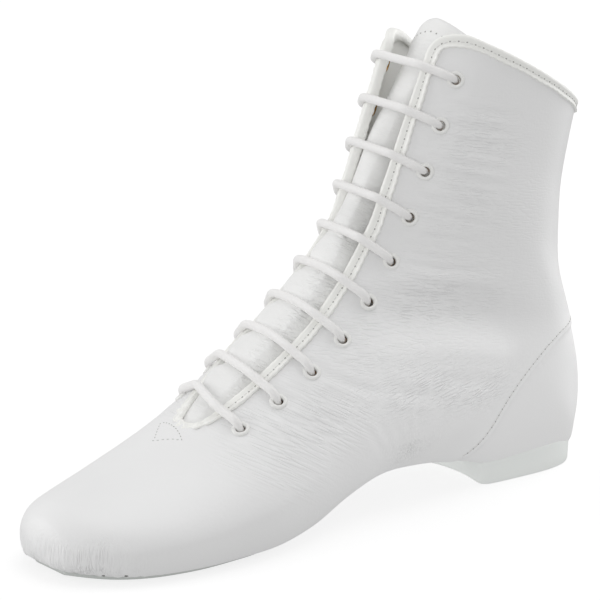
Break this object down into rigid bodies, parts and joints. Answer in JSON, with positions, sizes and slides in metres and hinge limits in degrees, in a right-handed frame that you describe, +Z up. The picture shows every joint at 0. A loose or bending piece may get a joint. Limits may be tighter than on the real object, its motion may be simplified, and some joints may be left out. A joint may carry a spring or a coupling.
{
  "type": "jazz boot",
  "caption": "White leather lace-up ankle boot for jazz dance, with a split sole, a low rubber heel, a leather tongue and straight-bar lacing.",
  "frame": {"origin": "middle of the boot's box, on the floor", "axes": "+X to the toe, +Y to the boot's left (inner) side, +Z up"},
  "size_m": [0.2514, 0.0856, 0.1776],
  "materials": {
    "upper": "satin white, fine grain",
    "tongue": "soft matt white",
    "edge_binding": "satin white, folded strip",
    "insole": "matt",
    "front_sole": "matt grey-white",
    "heel": "smooth off-white",
    "eyelet": "white enamel on brass",
    "lace": "round braided cord"
  },
  "bodies": {
    "root": {"upper": "upper", "tongue": "tongue", "edge_binding": "edge_binding", "insole": "insole", "front_sole": "front_sole", "heel": "heel", "eyelet_left_01": "eyelet", "eyelet_left_02": "eyelet", "eyelet_left_03": "eyelet", "eyelet_left_04": "eyelet", "eyelet_left_05": "eyelet", "eyelet_left_06": "eyelet", "eyelet_left_07": "eyelet", "eyelet_left_08": "eyelet", "eyelet_left_09": "eyelet", "eyelet_left_10": "eyelet", "eyelet_right_01": "eyelet", "eyelet_right_02": "eyelet", "eyelet_right_03": "eyelet", "eyelet_right_04": "eyelet", "eyelet_right_05": "eyelet", "eyelet_right_06": "eyelet", "eyelet_right_07": "eyelet", "eyelet_right_08": "eyelet", "eyelet_right_09": "eyelet", "eyelet_right_10": "eyelet", "lace": "lace"}
  },
  "joints": []
}
